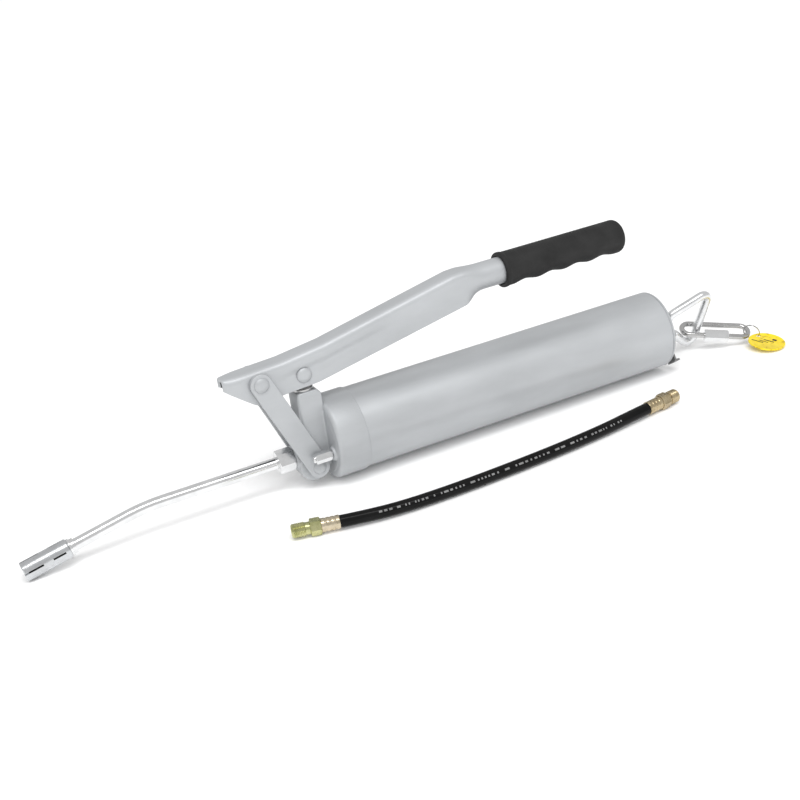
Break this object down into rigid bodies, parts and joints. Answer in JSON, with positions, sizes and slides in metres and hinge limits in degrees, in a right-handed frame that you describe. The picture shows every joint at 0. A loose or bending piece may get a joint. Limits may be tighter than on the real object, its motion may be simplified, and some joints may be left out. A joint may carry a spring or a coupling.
{
  "type": "grease gun",
  "caption": "Lever hand grease gun: cartridge barrel, pump head, rigid bent nozzle with coupler, hooked pull rod with a link and tag, and a loose short hose.",
  "frame": {"origin": "on the barrel's axis, at the middle of the bare stretch of barrel between head and rear cap", "axes": "+X along the barrel towards the pull handle, +Z from the barrel towards the lever, -Y to the side that has the bleed valve"},
  "size_m": [0.5734, 0.1137, 0.1215],
  "materials": {
    "grey_paint": "satin light grey paint",
    "cast_grey": "light grey painted casting",
    "dark_steel": "dark oiled steel",
    "rubber_black": "black rubber",
    "plain_steel": "plain steel",
    "spring_steel": "spring wire",
    "bright_zinc": "bright zinc plating",
    "coupler_zinc": "bright zinc plating, slightly blue",
    "hook_zinc": "dull zinc plating",
    "polished_steel": "polished steel",
    "grip_black": "matt black moulded grip",
    "tag_yellow": "yellow tag",
    "hose_black": "black hose cover",
    "yellow_zinc": "pale yellow plating",
    "hose_brass": "dull brass"
  },
  "bodies": {
    "gun_body": {"barrel_tube": "grey_paint", "head_casting": "cast_grey", "head_gasket": "rubber_black", "plunger_packing": "rubber_black", "gland_nut": "plain_steel", "check_spring": "spring_steel", "nozzle_nut": "bright_zinc", "nozzle_tube": "bright_zinc", "coupler_adapter": "bright_zinc", "coupler_sleeve": "coupler_zinc", "coupler_spring": "spring_steel", "rear_cap": "grey_paint", "rod_bush": "plain_steel", "latch_bracket": "dark_steel", "latch_pin": "plain_steel", "latch_spring": "spring_steel", "follower_spring": "spring_steel"},
    "links": {"link_near": "grey_paint", "link_far": "grey_paint", "link_upper_rivet": "grey_paint", "link_lower_rivet": "grey_paint"},
    "lever": {"lever_channel": "grey_paint", "lever_grip": "grip_black", "plunger_rivet": "grey_paint"},
    "plunger": {"pump_plunger": "plain_steel"},
    "follower": {"follower_rod": "hook_zinc", "piston_cup": "rubber_black", "piston_front_plate": "plain_steel", "piston_back_plate": "plain_steel", "piston_nut": "plain_steel"},
    "latch": {"rod_latch": "dark_steel"},
    "ball": {"check_ball": "plain_steel"},
    "bleed_valve": {"vent_valve": "bright_zinc"},
    "jaws": {"coupler_jaws": "plain_steel", "coupler_seal": "rubber_black"},
    "quick_link": {"quick_link_body": "polished_steel"},
    "link_nut": {"quick_link_nut": "polished_steel"},
    "tag": {"tag_ring": "polished_steel", "tag_disc": "tag_yellow"},
    "hose": {"hose_tube": "hose_black", "hose_inlet_ferrule": "yellow_zinc", "hose_outlet_ferrule": "hose_brass", "hose_inlet_fitting": "yellow_zinc", "hose_outlet_fitting": "hose_brass"}
  },
  "joints": [
    {"name": "link_swing", "type": "hinge", "parent": "gun_body", "child": "links", "pos_m": [-0.1592, 0, -0.0144], "axis": [0, -1, 0], "range_deg": [-3, 1]},
    {"name": "lever_swing", "type": "hinge", "parent": "links", "child": "lever", "pos_m": [-0.1882, 0, 0.0539], "axis": [0, -1, 0], "range_deg": [0, 35]},
    {"name": "plunger_slide", "type": "slide", "parent": "gun_body", "child": "plunger", "axis": [0, 0, 1], "range_m": [-0.001, 0.0195]},
    {"name": "follower_slide", "type": "slide", "parent": "gun_body", "child": "follower", "axis": [1, 0, 0], "range_m": [0, 0.185], "stiffness_N_per_m": 150, "springref_m": -0.06, "deforming": ["follower_spring"]},
    {"name": "latch_tilt", "type": "hinge", "parent": "gun_body", "child": "latch", "pos_m": [0.12335, 0.00477, 0.00763], "axis": [0, 0.848, -0.53], "range_deg": [0, 4], "stiffness_Nm_per_rad": 0.3, "springref_deg": -5.73, "deforming": ["latch_spring"]},
    {"name": "ball_lift", "type": "slide", "parent": "gun_body", "child": "ball", "axis": [-1, 0, 0], "range_m": [0, 0.0012], "stiffness_N_per_m": 300, "springref_m": -0.001, "deforming": ["check_spring"]},
    {"name": "vent_turn", "type": "hinge", "parent": "gun_body", "child": "bleed_valve", "pos_m": [-0.151, -0.017, -0.0056], "axis": [1, 0, 0], "range_deg": [0, 360]},
    {"name": "jaws_slide", "type": "slide", "parent": "gun_body", "child": "jaws", "axis": [0.9799, 0, 0.1994], "range_m": [0, 0.0015], "stiffness_N_per_m": 500, "springref_m": -0.001, "deforming": ["coupler_spring"]},
    {"name": "quick_link_swing", "type": "hinge", "parent": "follower", "child": "quick_link", "pos_m": [0.16147, 0.00693, -0.01487], "axis": [0.0718, -0.4215, 0.904], "range_deg": [-8, 8]},
    {"name": "nut_slide", "type": "slide", "parent": "quick_link", "child": "link_nut", "axis": [0.8878, -0.4222, -0.183], "range_m": [0, 0.0079]},
    {"name": "tag_swing", "type": "hinge", "parent": "quick_link", "child": "tag", "pos_m": [0.19623, -0.00998, -0.02221], "axis": [-0.46, -0.8045, -0.3758], "range_deg": [-5, 5]},
    {"name": "hose_lift", "type": "slide", "parent": "gun_body", "child": "hose", "axis": [0, 0, 1], "range_m": [0, 0.05]}
  ],
  "couplings": [
    {"joint": "link_swing", "follows": "lever_swing", "ratio": -0.055},
    {"joint": "plunger_slide", "follows": "lever_swing", "m_per_rad": 0.03012}
  ]
}
